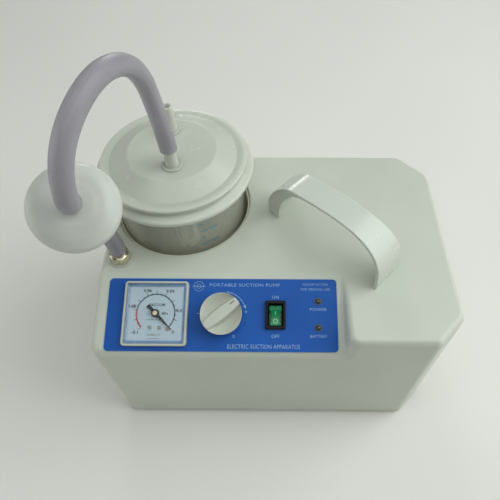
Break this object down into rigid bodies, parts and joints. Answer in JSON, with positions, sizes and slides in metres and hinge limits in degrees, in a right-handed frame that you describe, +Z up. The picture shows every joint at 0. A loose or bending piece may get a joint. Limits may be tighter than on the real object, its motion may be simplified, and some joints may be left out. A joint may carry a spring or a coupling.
{
  "type": "suction pump",
  "caption": "Portable electric medical suction pump: moulded case with jar well, sloped control panel, carry handle, lidded collection jar and a bacteria filter on hoses.",
  "frame": {"origin": "centre of the pump's footprint box, hoses and filter left out, at the level that its feet stand on", "axes": "+X to the operator's right, +Y to the back, +Z up; the control panel faces -Y"},
  "size_m": [0.2776, 0.1918, 0.3293],
  "materials": {
    "housing_plastic": "satin ivory ABS with a fine moulded texture",
    "well_plastic": "matt tan plastic",
    "white_plastic": "glossy white polypropylene",
    "blue_overlay": "satin printed film",
    "black_plastic": "satin",
    "black_rubber": "matt",
    "green_rocker": "glossy translucent green",
    "lamp_lens": "glossy dark lens",
    "dial_face": "matt printed card",
    "black_paint": "matt black",
    "clear_plastic": "clear moulded plastic",
    "hose_silicone": "translucent silicone",
    "filter_shell": "translucent white polypropylene",
    "filter_paper": "matt membrane",
    "nickel_fitting": "nickel-plated brass",
    "brass": "turned",
    "zinc_steel": "zinc plated",
    "cast_aluminium": "die cast",
    "board_laminate": "solder resist",
    "battery_case": "satin"
  },
  "bodies": {
    "housing": {"housing_shell": "housing_plastic", "base_plate": "housing_plastic", "rubber_foot_1": "black_rubber", "rubber_foot_2": "black_rubber", "rubber_foot_3": "black_rubber", "rubber_foot_4": "black_rubber", "base_screw_1": "zinc_steel", "base_screw_2": "zinc_steel", "base_screw_3": "zinc_steel", "base_screw_4": "zinc_steel", "jar_well": "well_plastic", "well_support": "well_plastic", "carry_handle": "white_plastic", "handle_screw_1": "zinc_steel", "handle_screw_2": "zinc_steel", "panel_overlay": "blue_overlay", "gauge_case": "black_plastic", "gauge_bezel": "housing_plastic", "gauge_dial": "dial_face", "gauge_window": "clear_plastic", "gauge_movement": "brass", "regulator_valve": "cast_aluminium", "switch_frame": "black_plastic", "power_lamp": "lamp_lens", "battery_lamp": "lamp_lens", "inlet_fitting": "nickel_fitting", "inlet_washer": "white_plastic", "inlet_nut": "brass", "suction_tube": "hose_silicone", "gauge_tube": "hose_silicone", "pump_crankcase": "cast_aluminium", "pump_head": "cast_aluminium", "pump_diaphragm": "black_rubber", "connecting_rod": "cast_aluminium", "motor_can": "zinc_steel", "motor_bracket": "black_plastic", "battery_pack": "battery_case", "circuit_board": "board_laminate", "power_inlet": "black_plastic", "fuse_holder": "black_plastic"},
    "jar": {"collection_jar": "clear_plastic"},
    "lid": {"jar_lid": "white_plastic", "lid_seal": "black_rubber", "float_cage": "filter_shell", "main_hose": "hose_silicone", "short_hose": "hose_silicone", "filter_front_shell": "filter_shell", "filter_back_shell": "filter_shell", "filter_membrane": "filter_paper"},
    "float": {"valve_float": "white_plastic"},
    "knob": {"regulator_knob": "housing_plastic", "regulator_spindle": "brass"},
    "rocker": {"switch_rocker": "green_rocker"},
    "needle": {"gauge_needle": "black_paint"},
    "shaft": {"motor_shaft": "zinc_steel", "cooling_fan": "black_plastic"}
  },
  "joints": [
    {"name": "jar_lift", "type": "slide", "parent": "housing", "child": "jar", "axis": [0, 0, 1], "range_m": [0, 0.12]},
    {"name": "lid_lift", "type": "slide", "parent": "jar", "child": "lid", "axis": [0, 0, 1], "range_m": [0, 0.1]},
    {"name": "float_rise", "type": "slide", "parent": "lid", "child": "float", "axis": [0, 0, 1], "range_m": [0, 0.023]},
    {"name": "knob_turn", "type": "hinge", "parent": "housing", "child": "knob", "pos_m": [-0.03745, -0.06864, 0.13996], "axis": [0, -0.3517, 0.9361], "range_deg": [-135, 135]},
    {"name": "rocker_tip", "type": "hinge", "parent": "housing", "child": "rocker", "pos_m": [0.00185, -0.06797, 0.13957], "axis": [1, 0, 0], "range_deg": [-24, 0]},
    {"name": "needle_sweep", "type": "hinge", "parent": "housing", "child": "needle", "pos_m": [-0.08675, -0.06771, 0.14031], "axis": [0, -0.3517, 0.9361], "range_deg": [0, 270], "stiffness_Nm_per_rad": 0.0005},
    {"name": "shaft_spin", "type": "hinge", "parent": "housing", "child": "shaft", "pos_m": [0.1, 0.03555, 0.046], "axis": [1, 0, 0], "continuous": true}
  ]
}
